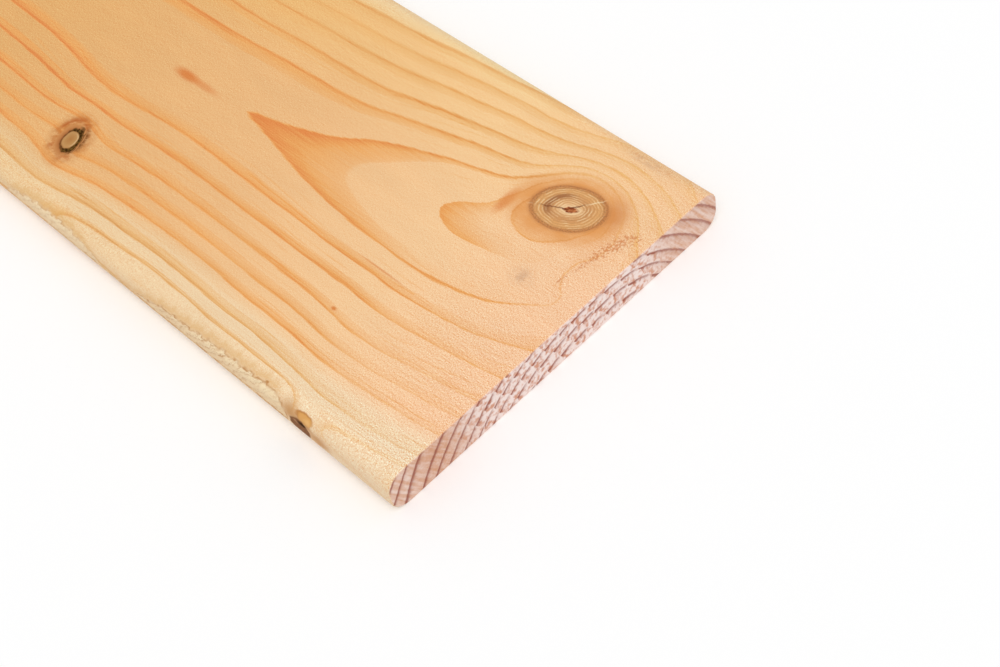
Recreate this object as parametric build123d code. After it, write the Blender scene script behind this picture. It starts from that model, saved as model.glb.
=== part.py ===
"""A planed softwood plank with its four long edges rounded over and both ends sawn square.

The plank lies flat. The origin is under its middle, on the face it rests on, with +X along the grain,
+Y across the width and +Z up. All sizes are in millimetres.
"""

import os

from build123d import *

# Driving dimensions
length = 1800.0
width = 140.0
thickness = 16.0
edge_radius = 6.0


def plank_section():
    """The planed section: a flat rectangle standing on the origin, its four corners rounded alike."""
    with BuildSketch(Plane.YZ) as section:
        RectangleRounded(width, thickness, edge_radius, align=(Align.CENTER, Align.MIN))
    return section.sketch


def plank():
    """The section carried along the grain by half the length each way, which leaves the sawn ends square."""
    with BuildPart() as board:
        extrude(plank_section(), amount=length / 2, both=True)
    return board.part


os.makedirs("parts", exist_ok=True)
export_step(plank(), "parts/plank.step")
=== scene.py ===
import math
from functools import partial
from typing import NamedTuple

import bpy
import numpy as np
from bpy.props import FloatProperty, FloatVectorProperty, IntProperty, PointerProperty
from mathutils import Matrix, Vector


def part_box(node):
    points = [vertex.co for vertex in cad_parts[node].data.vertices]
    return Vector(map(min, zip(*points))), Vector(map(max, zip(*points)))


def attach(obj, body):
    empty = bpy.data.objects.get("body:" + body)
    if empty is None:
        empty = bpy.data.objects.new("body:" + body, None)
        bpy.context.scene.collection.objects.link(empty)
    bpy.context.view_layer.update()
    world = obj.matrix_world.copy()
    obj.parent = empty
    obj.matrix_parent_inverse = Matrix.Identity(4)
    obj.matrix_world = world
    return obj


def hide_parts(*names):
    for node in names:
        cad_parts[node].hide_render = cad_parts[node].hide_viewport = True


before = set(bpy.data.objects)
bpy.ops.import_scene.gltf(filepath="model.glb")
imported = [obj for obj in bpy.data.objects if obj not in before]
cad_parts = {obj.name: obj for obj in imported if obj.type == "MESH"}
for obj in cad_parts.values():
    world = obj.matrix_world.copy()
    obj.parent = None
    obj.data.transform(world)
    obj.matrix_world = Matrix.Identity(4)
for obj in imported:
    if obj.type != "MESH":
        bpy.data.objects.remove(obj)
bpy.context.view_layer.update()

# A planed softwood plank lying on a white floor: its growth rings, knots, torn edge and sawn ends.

bl_info = {
    "name": "Planed fir plank",
    "version": (1, 0, 0),
    "blender": (4, 5, 0),
    "location": "View3D > Sidebar > Plank",
    "description": "Builds a planed fir plank with its figure, and the white floor that it lies on",
    "category": "Add Mesh",
}

MM = 0.001
BUMP_DEPTH = 0.15 * MM
PLANK_LOW, PLANK_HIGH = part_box("plank")
PLANK_SIZE = PLANK_HIGH - PLANK_LOW

# The log. Places are in millimetres: along from the near sawn end, across from the middle, and deep from the
# upper face. A station along gives the crown's place across, the pith's depth, and how much the rings are
# stretched on the left and on the right.
CROWN_STATIONS = np.array([
    (-1800, -7.0, 50.6, 0.98, 0.94),
    (-1560, 2.0, 48.4, 0.99, 0.93),
    (-1290, -5.0, 50.9, 1.00, 0.91),
    (-1040, 4.0, 53.2, 0.97, 0.94),
    (-820, 6.0, 51.3, 0.96, 0.95),
    (-620, -2.0, 48.7, 1.00, 0.92),
    (-440, -1.0, 50.7, 0.98, 0.93),
    (-300, 1.0, 51.4, 0.97, 0.93),
    (-235, 1.2, 50.9, 0.97, 0.92),
    (-200, 0.6, 50.7, 0.97, 0.92),
    (-170, -0.2, 50.25, 0.99, 0.92),
    (-152, 0.0, 50.07, 1.02, 0.905),
    (-141, 0.0, 50.0, 1.035, 0.895),
    (-132, 0.0, 49.94, 1.04, 0.89),
    (-126, 0.0, 49.86, 1.045, 0.885),
    (-120, 0.1, 49.72, 1.05, 0.88),
    (-110, 0.9, 49.33, 1.04, 0.88),
    (-100, 3.0, 48.6, 1.01, 0.905),
    (-90, 5.0, 47.8, 0.98, 0.935),
    (-80, 6.6, 47.1, 0.96, 0.96),
    (-70, 8.2, 46.4, 0.95, 0.99),
    (-60, 9.4, 46.1, 0.935, 1.03),
    (-50, 9.8, 46.0, 0.925, 1.05),
    (-40, 10.0, 46.4, 0.92, 1.05),
    (-30, 10.0, 47.2, 0.915, 1.05),
    (-20, 9.0, 48.6, 0.925, 1.02),
    (-10, 7.0, 50.8, 0.945, 0.95),
    (0, 6.0, 52.5, 0.97, 0.92),
])
# The outer radius of each year's ring, counted from the ring that comes to a point on the upper face.
RING_RADII = np.array([10, 15, 20, 25, 30, 35, 40.2, 45.4, 50.0, 54.1, 58.3, 63.6, 68.4, 73.2, 80.6, 85.0,
                       88.6, 92.5, 97.0, 102.0])
INNER_RINGS = 8


class Swell(NamedTuple):
    """A place where the rings swell outwards: its middle, its reach back, forward and aside, and how much."""
    along: float
    across: float
    back: float
    forward: float
    side: float
    rings: float


class Knot(NamedTuple):
    """A branch: its middle, half sizes and turn on the upper face, if it died, and its push on the grain."""
    along: float
    across: float
    half_length: float
    half_width: float
    turn: float
    dead: float
    push: float


SWELLS = (
    Swell(-29, 36, 11.5, 12.5, 12.5, 5.5),
    Swell(-8, 5, 7, 7, 6, 0.12),
    Swell(0, -69, 25, 25, 9, -0.2),
    Swell(2, -30, 20, 20, 28, 0.3),
    Swell(-37, -69, 5, 6, 5, 0.5),
    Swell(-50, -69, 9, 7, 6, -0.5),
    Swell(-51, 13, 14, 14, 9, 0.15),
    Swell(-40, 24, 6, 8, 6, 0.45),
    Swell(-19, 26, 9, 9, 9, -0.9),
    Swell(-10.5, 17, 5, 7, 7, -0.45),
    Swell(-192, -24, 26, 22, 12, 0.3),
    Swell(-130, 27, 60, 45, 7, 0.13),
    Swell(-42, -42, 24, 22, 12, 0.35),
    Swell(-75, -66, 90, 30, 8, -0.5),
)
KNOTS = (
    Knot(-29.3, 35.4, 12.9, 9.5, 23.6, 0, 0),
    Knot(-180.1, -46.2, 4.9, 7.1, 27.7, 1, 0.45),
    Knot(-402, 31, 6.5, 5.5, 10, 0, 0.5),
    Knot(-631, -38, 5.0, 5.0, -15, 1, 0.45),
    Knot(-668, 24, 9.0, 7.0, 20, 0, 0.5),
    Knot(-1012, 49, 3.5, 3.0, 0, 1, 0.4),
    Knot(-1236, -17, 8.5, 7.0, -12, 0, 0.5),
    Knot(-1448, 44, 5.0, 5.5, 15, 1, 0.45),
    Knot(-1571, -34, 7.0, 6.0, 8, 0, 0.5),
)
# The wide rise of the rings beside the large branch: its rings, and where it lies.
BRANCH_RISE = 1.6
BRANCH_RISE_ALONG = -20.0
BRANCH_RISE_REACH = 30.0
BRANCH_RISE_FROM = -4.0
BRANCH_RISE_SPAN = 44.0
# How a branch leans and narrows on its way in to the pith, and how far it pushes the grain, in half sizes.
BRANCH_LEAN = -0.25
BRANCH_TAPER = 0.6
BRANCH_THINNEST = 0.2
PUSH_ALONG = 2.4
PUSH_ACROSS = 1.8
# How far a knot's own pattern reaches, in half sizes.
KNOT_REACH = 2.6
KNOT_FADE = 0.5
# How far a knot sinks as it dries, in millimetres, and where, in half sizes: a dead one in its bark, and a
# live one round its pith.
DEAD_KNOT_SINK = 0.35
BARK_PLACE = 0.75
BARK_REACH = 0.2
LIVE_KNOT_SINK = 0.12
PITH_REACH = 0.5
# How far apart, in millimetres, the ring count's slope is taken, and the least slope.
PACE_STEP = 0.5
SLOWEST_PACE = 0.003
# The ring that the large knot's collar stops at, and how many rings are pressed together there.
COLLAR_RING = -2.0
COLLAR_SPAN = 0.42


def smooth_step(t):
    """Rises from 0 to 1 as t does, level at both ends."""
    t = np.clip(t, 0, 1)
    return t * t * (3 - 2 * t)


def bell(t):
    """The bell curve, 1 at t = 0."""
    return np.exp(-t * t)


def through(x, places, values):
    """A cubic through the values at the places: each span is a Hermite curve with its ends' mean slopes."""
    slopes = np.gradient(values, places)
    i = np.clip(np.searchsorted(places, x) - 1, 0, len(places) - 2)
    span = places[i + 1] - places[i]
    t = np.clip((x - places[i]) / span, 0, 1)
    s = 1 - t
    return ((1 + 2 * t) * s * s * values[i] + t * s * s * span * slopes[i]
            + t * t * (3 - 2 * t) * values[i + 1] - t * t * s * span * slopes[i + 1])


def crown(along):
    """The crown's place across, the pith's depth, and the stretch of the rings on the left and right."""
    return [through(along, CROWN_STATIONS[:, 0], CROWN_STATIONS[:, k]) for k in (1, 2, 3, 4)]


def knot_place(knot, along, across, deep):
    """A point in a branch's own section, in half sizes: a branch is a cone that narrows towards the pith."""
    crown_across, pith_deep = (v.item() for v in crown(np.array([knot.along]))[:2])
    share = deep / pith_deep
    wide = np.maximum(1 - BRANCH_TAPER * share, BRANCH_THINNEST)
    x = (along - knot.along - BRANCH_LEAN * deep) / wide
    y = (across - knot.across - (crown_across - knot.across) * share) / wide
    turn = math.radians(knot.turn)
    return ((x * math.cos(turn) + y * math.sin(turn)) / knot.half_length,
            (y * math.cos(turn) - x * math.sin(turn)) / knot.half_width)


def pushed_across(along, across, deep):
    """The place across that the grain at a point would have if no branch had pushed it aside."""
    straight = across
    for knot in KNOTS:
        a, b = knot_place(knot, along, across, deep)
        push = knot.push * b * knot.half_width
        straight = straight - push * bell(a / PUSH_ALONG) * bell(b / PUSH_ACROSS)
    return straight


def ring_number(along, across, deep):
    """Growth rings counted at a point.

    The distance from the pith, with the left and right sides stretched by their own factor, is looked up
    among the rings' radii. Branches push the point aside first, and each swell then takes a bell-shaped count
    away. Near the large knot, what lies inside its collar's ring is pressed together there.
    """
    straight = pushed_across(along, across, deep)
    crown_across, pith_deep, left, right = crown(along)
    aside = straight - crown_across
    radius = np.hypot(np.where(aside < 0, left, right) * aside, pith_deep - deep)
    rings = np.interp(radius, RING_RADII, np.arange(len(RING_RADII)) - INNER_RINGS)
    for swell in SWELLS:
        reach = np.where(along < swell.along, swell.back, swell.forward)
        lengthwise = bell((along - swell.along) / reach)
        rings = rings - swell.rings * lengthwise * bell((across - swell.across) / swell.side)
    beside = smooth_step((across - BRANCH_RISE_FROM) / BRANCH_RISE_SPAN)
    rings = rings - BRANCH_RISE * beside * bell((along - BRANCH_RISE_ALONG) / BRANCH_RISE_REACH)
    apart = np.hypot(*knot_place(KNOTS[0], along, across, deep))
    collar = smooth_step((KNOT_REACH - apart) / KNOT_FADE)
    held = COLLAR_RING - COLLAR_SPAN * (1 - np.exp(np.minimum(rings - COLLAR_RING, 0) / COLLAR_SPAN))
    return np.where(rings < COLLAR_RING, rings + (held - rings) * collar, rings)


def nearest_knot(along, across, deep):
    """For each point, its place in the nearest branch's section, whether that branch died, and its nearness.

    Nearness is 1 on the branch and beside it, and 0 well away from it, where the nearest branch may change.
    """
    places = np.array([knot_place(knot, along, across, deep) for knot in KNOTS])
    square = (places ** 2).sum(1)
    nearest = np.argmin(square, axis=0)
    points = np.arange(len(along))
    dead = np.array([knot.dead for knot in KNOTS])[nearest]
    knot = np.stack([places[nearest, 0, points], places[nearest, 1, points], dead], axis=-1)
    return knot, smooth_step((KNOT_REACH - np.sqrt(square.min(0))) / KNOT_FADE)


def ring_pace(along, across, deep, direction):
    """Rings per millimetre over the surface: the ring count's slope, less its outward part."""
    point = np.stack([along, across, deep])
    half_steps = PACE_STEP / 2 * np.eye(3)[:, :, None]
    rises = [ring_number(*(point + half)) - ring_number(*(point - half)) for half in half_steps]
    slope = np.stack(rises, axis=-1) / PACE_STEP
    outward = direction * (1, 1, -1)
    slope -= outward * (slope * outward).sum(1, keepdims=True)
    return np.maximum(np.linalg.norm(slope, axis=1), SLOWEST_PACE)


# Where the surface is torn, where the latewood is washed out, and where it is stained: middle along and
# across, and reach along and across.
TORN_PATCHES = ((-8, 32, 6, 9), (-10, 14, 4, 8), (-6, -60, 26, 7), (-14, -30, 20, 26))
PALE_PATCHES = ((-43, 16, 7, 4.5),)
STAINS = ((-22, 7, 3.6, 3), (-23, 65, 8, 1.6))
# The torn line of pits beside the near end: places along and across, its half width, how its ends fade, and
# how deep below the upper face it still shows.
PITS_ALONG = np.array([-10.5, -12.4, -11.2, -10.6, -9.6, -7.6, -5.4])
PITS_ACROSS = np.array([8.0, 14.0, 18.0, 24.0, 29.0, 35.0, 42.0])
PITS_REACH = np.array([0.4, 0.5, 0.6, 1.2, 2.4, 3.2, 2.6])
PITS_FADE = 3.0
PITS_DEEPEST = 1.0
# Short streaks of resin: middle along and across, reach along and across, and strength.
RESIN_STREAKS = (
    ((-172, -1.8), (8.5, 3.0), 1.0),
    ((-164, -1.6), (12, 2.2), 0.6),
    ((-57, -18.2), (14, 0.5), 0.6),
    ((-57.5, -37.6), (1.5, 1.0), 1.0),
    ((-46.8, 26.0), (3.0, 8.5), 0.8),
    ((-11.5, 29), (8, 15), 0.12),
)


def patches(along, across, middles):
    """The strongest of several bell-shaped patches at each point."""
    return np.max([bell((along - a) / ra) * bell((across - b) / rb) for a, b, ra, rb in middles], axis=0)


# The knot cut off by the left edge, part over part: middle and reach along and down, softness, and colour.
EDGE_KNOT_PARTS = (
    ((-42.4, 8.0), (6.0, 6.5), 0.95, "#c6935c"),
    ((-31.0, 12.0), (8.0, 5.0), 0.9, "#c8945e"),
    ((-37.0, 9.0), (5.2, 3.2), 0.6, "#c08c55"),
    ((-36.6, 6.4), (4.2, 2.3), 0.3, "#bd8040"),
    ((-36.2, 6.7), (3.7, 2.0), 0.4, "#d99f56"),
    ((-35.0, 6.8), (2.2, 1.3), 0.9, "#e3b06c"),
    ((-39.0, 12.0), (5.0, 4.0), 0.2, "#7f4c1e"),
    ((-37.4, 9.9), (2.6, 1.2), 0.6, "#432810"),
    ((-40.4, 10.4), (1.6, 1.0), 0.8, "#a06f40"),
)
# The torn strip on the left rounding: where its upper edge lies, in millimetres down from the upper flat.
TEAR_ALONG = np.array([-190.0, -182.0, -172.0, -160.0, -150.0, -142.0, -136.0, -121.0, -112.0, -103.0,
                       -90.0, -80.0, -72.0, -58.0, -53.0, -49.6, -46.4, -45.6, -45.0])
TEAR_DOWN = np.array([13.0, 8.6, 6.6, 6.0, 6.6, 8.4, 13.0, 13.0, 10.6, 7.8,
                      6.9, 5.9, 5.5, 5.2, 4.5, 5.3, 6.3, 8.0, 15.0])
TEAR_BOTTOM = 15.0
# How wide the strip's upper and lower edges and its far and near ends are, and the worn brow above it.
TEAR_UPPER_FADE = 0.7
TEAR_LOWER_FADE = 2.0
TEAR_FAR_FADE = 12.0
TEAR_NEAR_FADE = 6.0
BROW_RISE = 1.2
BROW_REACH = 1.5
# The waves of its upper edge: their height, and each one's radians per millimetre, start and share.
TEAR_SCALLOP = 0.45
TEAR_WAVES = ((1.05, 0.0, 1.0), (1.9, 0.7, 0.7))
# Its scales: their length, slant and depth, the share of the depth that they start with, and their curve.
TEAR_PITCH = 5.2
TEAR_SLANT = 1.5
TEAR_DEPTH = 0.25
TEAR_START_SHARE = 0.25
TEAR_POWER = 1.4


def pitted(along, across):
    """How pitted the torn line beside the near end is: a bell across a listed line of changing width."""
    middle = np.interp(across, PITS_ACROSS, PITS_ALONG)
    reach = np.interp(across, PITS_ACROSS, PITS_REACH)
    left = smooth_step((across - PITS_ACROSS[0]) / PITS_FADE)
    right = smooth_step((PITS_ACROSS[-1] - across) / PITS_FADE)
    return left * right * bell((along - middle) / reach)


def tear(along, down):
    """How much of the torn strip a point has, how deep it is there, and how near above its edge it lies.

    The strip lies between a listed, waved upper edge and a level lower one. Its depth is a saw-tooth on
    slanted lines, slow to deepen and quick to come back, as fibres break away one step after another.
    """
    upper = np.interp(along, TEAR_ALONG, TEAR_DOWN, left=TEAR_BOTTOM, right=TEAR_BOTTOM)
    step = (along + TEAR_SLANT * down) / TEAR_PITCH
    tooth = step - np.floor(step)
    waves = sum(share * np.sin(pace * along + start) for pace, start, share in TEAR_WAVES)
    upper = upper + TEAR_SCALLOP * waves
    inside = smooth_step((down - upper) / TEAR_UPPER_FADE)
    inside = inside * smooth_step((TEAR_BOTTOM - down) / TEAR_LOWER_FADE)
    far = smooth_step((along - TEAR_ALONG[0]) / TEAR_FAR_FADE)
    near = smooth_step((TEAR_ALONG[-1] - along) / TEAR_NEAR_FADE)
    brow = far * near * bell((down - upper + BROW_RISE) / BROW_REACH)
    depth = TEAR_DEPTH * (TEAR_START_SHARE + (1 - TEAR_START_SHARE) * tooth ** TEAR_POWER)
    return inside, inside * depth, brow


def linear(code):
    """An sRGB hex colour as linear red, green, blue and alpha."""
    levels = np.array([int(code[i:i + 2], 16) for i in (1, 3, 5)]) / 255
    values = np.where(levels <= 0.04045, levels / 12.92, ((levels + 0.055) / 1.055) ** 2.4)
    return (*values.tolist(), 1.0)


def colour(name, description, code):
    """A colour that the sidebar shows, from its sRGB hex value."""
    return FloatVectorProperty(name=name, description=description, subtype="COLOR", size=4, min=0, max=1,
                               default=linear(code))


def length(name, description, size):
    """A length that the sidebar shows, from its size in millimetres."""
    return FloatProperty(name=name, description=description, default=size * MM, unit="LENGTH")


class PlankForm(bpy.types.PropertyGroup):
    """The sizes of the plank's visible mesh."""
    edge_radius: length("Edge radius", "Rounding of the four long edges", 6)
    arris: length("Arris", "Worn edge where the sawn ends meet the sides", 0.35)
    flat_steps: IntProperty(name="Flat steps", description="Faces across each wide side's flat", default=80)
    round_steps: IntProperty(name="Round steps", description="Faces round each long edge", default=10)
    side_steps: IntProperty(name="Side steps", description="Faces down each narrow side", default=8)
    fine_pitch: length("Fine pitch", "Face length near the large knot", 1.2)
    knot_pitch: length("Knot pitch", "Face length at the other knots", 2.5)
    plain_pitch: length("Plain pitch", "Face length along the rest", 10)
    fine_reach: length("Fine reach", "Length with fine faces, from the near end", 235)


class PlankColours(bpy.types.PropertyGroup):
    """The colours of the plank's wood."""
    early_far: colour("Earlywood", "Pale wood of each ring, along most of the plank", "#e3ad6b")
    early_middle: colour("Earlywood by the point", "Pale wood of each ring, by the pointed figure", "#ebb981")
    early_knot: colour("Earlywood by the knot", "Pale wood of each ring, beside the large knot", "#f3c896")
    early_near: colour("Fresh earlywood", "Pale wood of each ring near the sawn end", "#f5c69d")
    early_right_far: colour("Far right strip", "Pale wood along most of the right edge", "#e6ab52")
    early_right_middle: colour("Middle right strip", "Pale wood of the right edge by the knot", "#f5cb92")
    early_right: colour("Right strip", "Pale wood of the right edge near the sawn end", "#f1c494")
    # Painted light: a paler colour for the right rounding, away from the sawn end, where light falls off over
    # the rounding.
    right_rounding_light: colour("Right rim", "Pale wood on the right rounding, away from the sawn end", "#f8dda2")
    sapwood_far: colour("Far sapwood", "Cream outer wood, along most of the plank", "#e9c590")
    sapwood: colour("Sapwood", "Cream outer wood near the sawn end", "#f2d8b4")
    late_pale: colour("Pale latewood", "Start of each year's dark wood", "#eaa65c")
    late_pale_right: colour("Pale right latewood", "Start of the dark wood beside the right edge", "#ebb570")
    late_pale_sap: colour("Pale sapwood latewood", "Start of each year's dark wood in the sapwood", "#e8b676")
    late_dark: colour("Latewood", "Dark wood that ends each ring", "#e18945")
    late_dark_right: colour("Right latewood", "Dark wood beside the right edge", "#df954a")
    late_dark_sap: colour("Sapwood latewood", "Dark wood that ends each ring of the sapwood", "#d89b57")
    resin: colour("Resin streak", "Short streak of resin", "#da8440")
    halo: colour("Knot halo", "Resin-rich wood round a live knot", "#e19851")
    dead_halo: colour("Dead knot halo", "Stained wood round a dead knot", "#bb6c26")
    torn_pale: colour("Torn fibres", "Pale torn fibres of the left edge", "#f6e0b8")
    # Brown painted shade in the creases between torn fibres, also used for the thin line along the torn
    # strip's edges.
    crease_shade_and_rim: colour("Torn creases", "Creases between torn fibres", "#b8762a")
    end_pale: colour("End grain", "Sawn earlywood of the ends", "#f1dfd8")
    end_brown: colour("Torn end grain", "Torn earlywood of the ends", "#cd8b6b")
    end_tan: colour("End tan", "Tan streaks of the ends' outer parts", "#d5a486")
    end_rose: colour("End rose", "Rose streaks of the ends' outer parts", "#e6cabb")
    end_line: colour("End latewood", "Latewood lines of the ends", "#934a38")
    pit: colour("Pits", "Red-brown pits of the torn line", "#d4824a")
    stain: colour("Stain", "Grey-brown stain", "#b58b70")


class StageForm(bpy.types.PropertyGroup):
    """The floor, the light and the view."""
    floor_colour: colour("Floor", "White floor", "#fdfdfd")
    floor_size: length("Floor size", "Side of the square floor", 14000)
    world_strength: FloatProperty(name="Sky", description="Strength of the white surroundings", default=0.64)
    sun_strength: FloatProperty(name="Sun", description="Strength of the soft sun", default=1.36)
    sun_spread: FloatProperty(name="Sun spread", description="Width of the soft sun", subtype="ANGLE",
                              default=math.radians(45))
    sun_turn: FloatVectorProperty(name="Sun turn", description="Turn of the sun from straight down", size=3,
                                  subtype="EULER", default=(math.radians(15.7), math.radians(26), 0))
    lens: FloatProperty(name="Lens", description="Focal length on a 36 mm wide sensor", default=61.83,
                        subtype="DISTANCE_CAMERA")


def tint(shade):
    """A grey level or an sRGB hex colour as linear red, green, blue and alpha, and anything else as it is."""
    if isinstance(shade, str):
        return linear(shade)
    if isinstance(shade, float):
        return (shade, shade, shade, 1.0)
    return shade


def add_node(tree, kind, *feeds, out=0, stops=(), **settings):
    """Adds a shader node and gives one of its outputs, a list of them, or None if it has none.

    Feeds go to its inputs in order, and None leaves one as it is. A setting that starts with a capital letter
    is an input by name, with _ for each space, and any other is the node's own property. A socket is linked
    to its input, and a value is set there. Stops are a ramp's places with their shades.
    """
    made = tree.nodes.new("ShaderNode" + kind)
    inputs = dict(enumerate(feeds))
    for name, value in settings.items():
        if name[0].isupper():
            inputs[name.replace("_", " ")] = value
        else:
            setattr(made, name, value)
    for key, value in inputs.items():
        if isinstance(value, bpy.types.NodeSocket):
            tree.links.new(value, made.inputs[key])
        elif value is not None:
            made.inputs[key].default_value = value
    if stops:
        elements = made.color_ramp.elements
        elements[0].position, elements[1].position = stops[0][0], stops[-1][0]
        elements[0].color, elements[1].color = tint(stops[0][1]), tint(stops[-1][1])
        for place, shade in stops[1:-1]:
            elements.new(place).color = tint(shade)
    if isinstance(out, tuple):
        return [made.outputs[key] for key in out]
    return made.outputs[out] if made.outputs else None


def product(add, first, *factors):
    """Masks and strengths multiplied together."""
    for factor in factors:
        first = add("Math", first, factor, operation="MULTIPLY")
    return first


def paint(add, under, over, *masks):
    """One colour laid over another where all the masks are. Five unused inputs come before the colours."""
    unused = [None] * 5
    return add("Mix", product(add, *masks), *unused, tint(under), tint(over), out=2, data_type="RGBA")


def profile(add, value, levels):
    """Levels or colours at places along a value, with an even change from each place to the next."""
    first, last = levels[0][0], levels[-1][0]
    share = add("MapRange", value, first, last)
    stops = [((place - first) / (last - first), shade) for place, shade in levels]
    return add("ValToRGB", share, stops=stops)


def fibre_noise(add, fibre, long, wide, detail=2.0):
    """Noise drawn out along the fibres: long and wide are its grain's size in millimetres."""
    scaled = add("VectorMath", fibre, (1 / long, 1 / wide, 1 / wide), operation="MULTIPLY")
    return add("TexNoise", scaled, Scale=1.0, Detail=detail)


def spot(add, place, middle, reach, edge=0.5):
    """A soft oval patch: 1 at its middle, 0 beyond its reach, falling over the outer part that edge gives."""
    aside = add("VectorMath", place, (*middle, 0.0), operation="SUBTRACT")
    scaled = add("VectorMath", aside, (1 / reach[0], 1 / reach[1], 0.0), operation="MULTIPLY")
    distance = add("VectorMath", scaled, out="Value", operation="LENGTH")
    return add("MapRange", distance, 1 - edge, 1.0, 1.0, 0.0, interpolation_type="SMOOTHSTEP")


# Where each year's latewood starts, as a share of its ring. Year -1 is the one that comes to a point.
LATEWOOD_STARTS = ((-8, 0.66), (-4, 0.66), (-3, 0.30), (-2, 0.45), (-1, 0.52), (0, 0.68), (1, 0.66),
                   (2, 0.66), (3, 0.58), (4, 0.60), (5, 0.56), (6, 0.74), (12, 0.76))
# How strong the latewood is round the line that starts each year.
LATEWOOD_STRENGTHS = ((-8, 0.7), (-4, 0.5), (-3, 0.4), (-2, 0.8), (-1, 0.66), (0, 0.9), (1, 0.85), (2, 0.85),
                      (3, 0.74), (4, 0.64), (5, 0.76), (6, 0.86), (7, 0.82), (12, 0.74))
# How latewood darkens over its share of the ring.
LATEWOOD_RISE = ((0.0, 0.0), (0.08, 0.25), (0.30, 0.36), (0.66, 0.48), (0.86, 0.72), (1.0, 1.0))
POINTED_YEAR = -1.0
POINTED_LINE = 0.0
KNOT_LINE = -1.0
# How wide the pointed figure's line grows beside the large knot, in millimetres, by the place along.
POINTED_LINE_WIDTHS = ((-62.0, 0.0), (-45.2, 0.5), (-32.0, 0.35), (-18.8, 0.05), (-2.0, 0.0))


def latewood_rise(add, along, across, moved, phase):
    """The slow darkening of each year's latewood.

    Each year starts it at its own share of the ring. The year that comes to a point starts it later beside
    the large knot and keeps less and less of it towards the near end, where all years fade.
    """
    year = add("Math", moved, operation="FLOOR")
    pointed = add("Math", year, POINTED_YEAR, 0.5, operation="COMPARE")
    start = profile(add, year, LATEWOOD_STARTS)
    later = add("MapRange", across, 8.0, 20.0, 0.0, 0.19)
    beside_knot = add("MapRange", along, -88.0, -74.0)
    point = add("MapRange", along, -85.0, -60.0, 0.6, 0.68)
    point = add("Math", later, beside_knot, point, operation="MULTIPLY_ADD")
    start = add("MapRange", pointed, 0.0, 1.0, start, point)
    share = add("MapRange", phase, start)
    rise = add("ValToRGB", share, stops=LATEWOOD_RISE)
    below = add("MapRange", along, -82.0, -46.0, 1.12, 0.25, interpolation_type="SMOOTHSTEP")
    above = add("MapRange", along, -52.0, -38.0, 1.12, 0.3, interpolation_type="SMOOTHSTEP")
    upper = add("MapRange", across, 8.0, 15.0)
    kept = add("MapRange", upper, 0.0, 1.0, below, above)
    kept = add("MapRange", pointed, 0.0, 1.0, 1.0, kept)
    fading = add("MapRange", along, -70.0, -5.0, 1.0, 0.4, interpolation_type="SMOOTHSTEP")
    return product(add, rise, kept, fading)


def latewood_line(add, along, pace, moved, pointed, right):
    """The dark line where a year's latewood stops, soft over its width in millimetres on both sides.

    It is wider far back and beside the right edge, thinner in the outer years, and fades near the sawn end.
    """
    width = add("MapRange", along, -150.0, -60.0, 1.0, 0.6)
    broad = add("MapRange", along, -110.0, -45.0, 0.7, 0.0)
    width = add("Math", right, broad, width, operation="MULTIPLY_ADD")
    outer = add("MapRange", moved, 4.6, 5.6, 1.0, 0.75)
    width = product(add, width, outer)
    looped = profile(add, along, POINTED_LINE_WIDTHS)
    width = add("Math", pointed, looped, width, operation="MULTIPLY_ADD")
    distance = add("Math", moved, 0.5, operation="PINGPONG")
    distance = add("Math", distance, pace, operation="DIVIDE")
    line = add("MapRange", distance, 0.0, width, 1.0, 0.0, interpolation_type="SMOOTHSTEP")
    fading = add("MapRange", along, -70.0, -5.0, 1.0, 0.64, interpolation_type="SMOOTHSTEP")
    return product(add, line, fading)


def thin_lines(add, fibre, pace, moved, phase):
    """Faint lines within a year, here and there, four to a ring and only where the rings are close."""
    apart = add("Math", fibre_noise(add, fibre, 90, 9, 1.0), 3.0, operation="MULTIPLY")
    thin = add("Math", moved, 4.0, apart, operation="MULTIPLY_ADD")
    thin = add("Math", thin, operation="FRACT")
    thin = add("MapRange", thin, 0.66, 0.98, 0.0, 0.34, interpolation_type="SMOOTHSTEP")
    often = fibre_noise(add, fibre, 40, 6, 1.0)
    often = add("MapRange", often, 0.43, 0.6, interpolation_type="SMOOTHSTEP")
    late_half = add("MapRange", phase, 0.15, 0.5)
    close = add("MapRange", pace, 0.05, 0.09)
    return product(add, thin, often, late_half, close)


def calm_parts(add, along, across, fibre):
    """What is left of the bands where they are weak, at the left of the near end and above the large knot."""
    near = add("MapRange", along, -62.0, -25.0, 0.0, 0.42)
    leftward = add("MapRange", across, -18.0, -46.0)
    over_knot = spot(add, fibre, (-32.0, 47.0), (28.0, 14.0), 0.8)
    calm = product(add, over_knot, 0.28)
    calm = add("Math", near, leftward, calm, operation="MULTIPLY_ADD")
    return add("Math", 1.0, calm, operation="SUBTRACT")


def worn_lines(add, along, across, line, pointed):
    """What is left of two lines near the end: the pointed figure's, and the next one below the large knot."""
    pointed_left = add("MapRange", along, -24.0, -8.0, 1.0, 0.5)
    pointed_left = add("MapRange", pointed, 0.0, 1.0, 1.0, pointed_left)
    knot_line = add("Math", line, KNOT_LINE, 0.5, operation="COMPARE")
    near = add("MapRange", along, -44.0, -30.0, 0.0, 0.8)
    below = add("MapRange", across, 34.0, 26.0)
    knot_left = product(add, near, below, knot_line)
    knot_left = add("Math", 1.0, knot_left, operation="SUBTRACT")
    return product(add, pointed_left, knot_left)


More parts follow.
